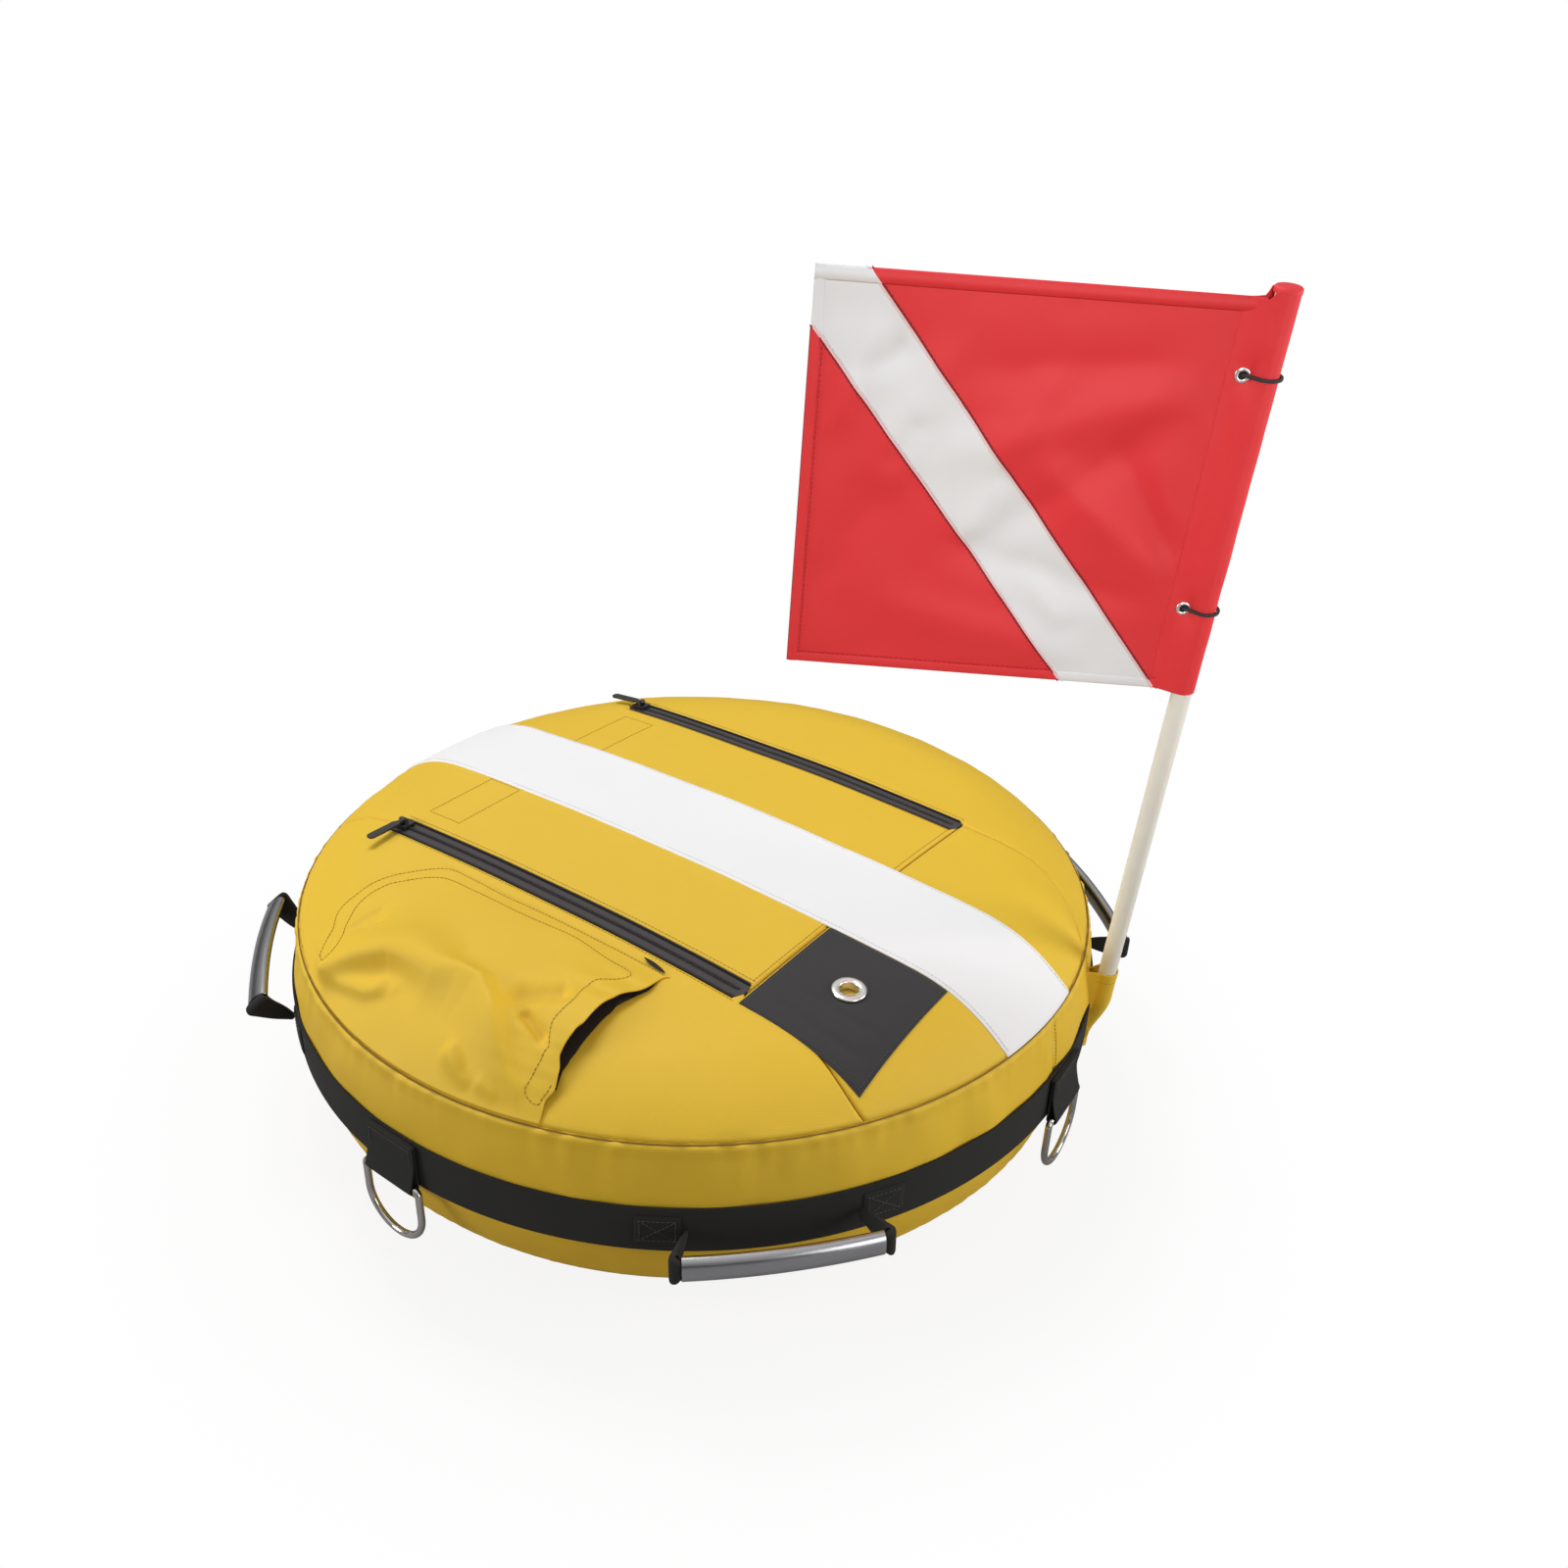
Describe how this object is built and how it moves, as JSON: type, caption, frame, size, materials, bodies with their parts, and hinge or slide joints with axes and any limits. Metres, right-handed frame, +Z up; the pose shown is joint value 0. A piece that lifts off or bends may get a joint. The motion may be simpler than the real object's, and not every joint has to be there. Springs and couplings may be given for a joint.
{
  "type": "dive flag float",
  "caption": "Round inflatable float in a zipped cloth cover with webbing grab handles, towing rings, a side pocket and a dive flag on a pole.",
  "frame": {"origin": "centre of the flat base that the float rests on", "axes": "+Z up, +X along the white stripe towards the end with the eyelet patch, +Y to the far side, away from the pocket"},
  "size_m": [0.7571, 0.7205, 0.7326],
  "materials": {
    "cover_cloth": "woven cover cloth, matt, golden yellow",
    "webbing": "black woven webbing, matt",
    "patch_cloth": "black cloth patch, matt",
    "stripe_cloth": "plain white cloth stripe",
    "zip_tape": "dark woven zip tape",
    "zip_chain": "dark moulded zip teeth",
    "zip_metal": "dark lacquered metal",
    "grip_steel": "brushed stainless tube",
    "ring_steel": "polished stainless wire",
    "nickel": "nickel plated",
    "tube_vinyl": "smooth yellow inflatable tube",
    "valve_rubber": "black rubber",
    "pole_plastic": "off-white, slightly see-through plastic",
    "rod_plastic": "plain white plastic rod",
    "flag_red": "red flag cloth with a soft sheen",
    "flag_white": "white flag cloth",
    "tie_cord": "black elastic cord"
  },
  "bodies": {
    "float": {"belt_webbing": "webbing", "cover_base_panel": "cover_cloth", "cover_centre_panel": "cover_cloth", "cover_far_panel": "cover_cloth", "cover_front_panel": "cover_cloth", "cover_lower_gusset": "cover_cloth", "cover_near_panel": "cover_cloth", "cover_upper_gusset": "cover_cloth", "d_ring_back_tab": "webbing", "d_ring_far_tab": "webbing", "d_ring_front_tab": "webbing", "d_ring_near_tab": "webbing", "grommet_patch": "patch_cloth", "handle_back_far_left_pad": "webbing", "handle_back_far_right_pad": "webbing", "handle_back_near_left_pad": "webbing", "handle_back_near_right_pad": "webbing", "handle_front_far_left_pad": "webbing", "handle_front_far_right_pad": "webbing", "handle_front_near_left_pad": "webbing", "handle_front_near_right_pad": "webbing", "inner_tube": "tube_vinyl", "patch_eyelet": "nickel", "patch_eyelet_washer": "nickel", "pole_sleeve": "cover_cloth", "side_pocket": "cover_cloth", "valve_stem": "valve_rubber", "white_stripe": "stripe_cloth", "zip_far_chain": "zip_chain", "zip_far_tape": "zip_tape", "zip_near_chain": "zip_chain", "zip_near_tape": "zip_tape"},
    "zip_near_slider": {"zip_near_slider": "zip_metal"},
    "zip_near_puller": {"zip_near_puller": "zip_metal"},
    "zip_far_slider": {"zip_far_slider": "zip_metal"},
    "zip_far_puller": {"zip_far_puller": "zip_metal"},
    "handle_front_near": {"handle_front_near_grip": "grip_steel", "handle_front_near_strap": "webbing"},
    "handle_front_far": {"handle_front_far_grip": "grip_steel", "handle_front_far_strap": "webbing"},
    "handle_back_far": {"handle_back_far_grip": "grip_steel", "handle_back_far_strap": "webbing"},
    "handle_back_near": {"handle_back_near_grip": "grip_steel", "handle_back_near_strap": "webbing"},
    "d_ring_front": {"d_ring_front": "ring_steel"},
    "d_ring_far": {"d_ring_far": "ring_steel"},
    "d_ring_back": {"d_ring_back": "ring_steel"},
    "d_ring_near": {"d_ring_near": "ring_steel"},
    "pole": {"flag_pole": "pole_plastic"},
    "flag": {"flag_fly_panel": "flag_red", "flag_hoist_panel": "flag_red", "flag_lower_eyelet": "nickel", "flag_lower_tie": "tie_cord", "flag_pole_pocket": "flag_red", "flag_stiffener": "rod_plastic", "flag_upper_eyelet": "nickel", "flag_upper_tie": "tie_cord", "flag_white_stripe": "flag_white"},
    "valve_cap": {"valve_cap": "valve_rubber"}
  },
  "joints": [
    {"name": "zip_near_run", "type": "hinge", "parent": "float", "child": "zip_near_slider", "pos_m": [0, -0.154, -3.2566], "axis": [0, 1, 0], "range_deg": [0, 5.84]},
    {"name": "zip_near_puller_turn", "type": "hinge", "parent": "zip_near_slider", "child": "zip_near_puller", "pos_m": [-0.205, -0.154, 0.23991], "axis": [-0.9983, 0, -0.0585], "range_deg": [0, 147]},
    {"name": "zip_far_run", "type": "hinge", "parent": "float", "child": "zip_far_slider", "pos_m": [0, 0.154, -3.2566], "axis": [0, 1, 0], "range_deg": [0, 5.84]},
    {"name": "zip_far_puller_turn", "type": "hinge", "parent": "zip_far_slider", "child": "zip_far_puller", "pos_m": [-0.205, 0.154, 0.23991], "axis": [0, 1, 0], "range_deg": [0, 145]},
    {"name": "handle_front_near_swing", "type": "hinge", "parent": "float", "child": "handle_front_near", "pos_m": [0.25875, -0.23298, 0.125], "axis": [-0.6691, -0.7431, 0], "range_deg": [-63, 47]},
    {"name": "handle_front_far_swing", "type": "hinge", "parent": "float", "child": "handle_front_far", "pos_m": [0.23298, 0.25875, 0.125], "axis": [0.7431, -0.6691, 0], "range_deg": [-55, 55]},
    {"name": "handle_back_far_swing", "type": "hinge", "parent": "float", "child": "handle_back_far", "pos_m": [-0.25464, 0.23746, 0.125], "axis": [0.682, 0.7314, 0], "range_deg": [-55, 55]},
    {"name": "handle_back_near_swing", "type": "hinge", "parent": "float", "child": "handle_back_near", "pos_m": [-0.23298, -0.25875, 0.125], "axis": [-0.7431, 0.6691, 0], "range_deg": [-103, 7]},
    {"name": "d_ring_front_swing", "type": "hinge", "parent": "float", "child": "d_ring_front", "pos_m": [0.35401, 0.02786, 0.106], "axis": [0.0785, -0.9969, 0], "range_deg": [-18, 170]},
    {"name": "d_ring_far_swing", "type": "hinge", "parent": "float", "child": "d_ring_far", "pos_m": [-0.01239, 0.35488, 0.106], "axis": [0.9994, 0.0349, 0], "range_deg": [-18, 170]},
    {"name": "d_ring_back_swing", "type": "hinge", "parent": "float", "child": "d_ring_back", "pos_m": [-0.35488, -0.01239, 0.106], "axis": [-0.0349, 0.9994, 0], "range_deg": [-18, 170]},
    {"name": "d_ring_near_swing", "type": "hinge", "parent": "float", "child": "d_ring_near", "pos_m": [0, -0.3551, 0.106], "axis": [-1, 0, 0], "range_deg": [-18, 170]},
    {"name": "pole_lift", "type": "slide", "parent": "float", "child": "pole", "axis": [0.087, -0.0767, 0.9932], "range_m": [0, 0.028]},
    {"name": "flag_turn", "type": "hinge", "parent": "pole", "child": "flag", "pos_m": [0.33955, 0.11692, 0.18], "axis": [0.087, -0.0767, 0.9932], "continuous": true},
    {"name": "valve_cap_turn", "type": "hinge", "parent": "float", "child": "valve_cap", "pos_m": [0, 0.08758, 0.11793], "axis": [0, -1, 0], "continuous": true}
  ]
}
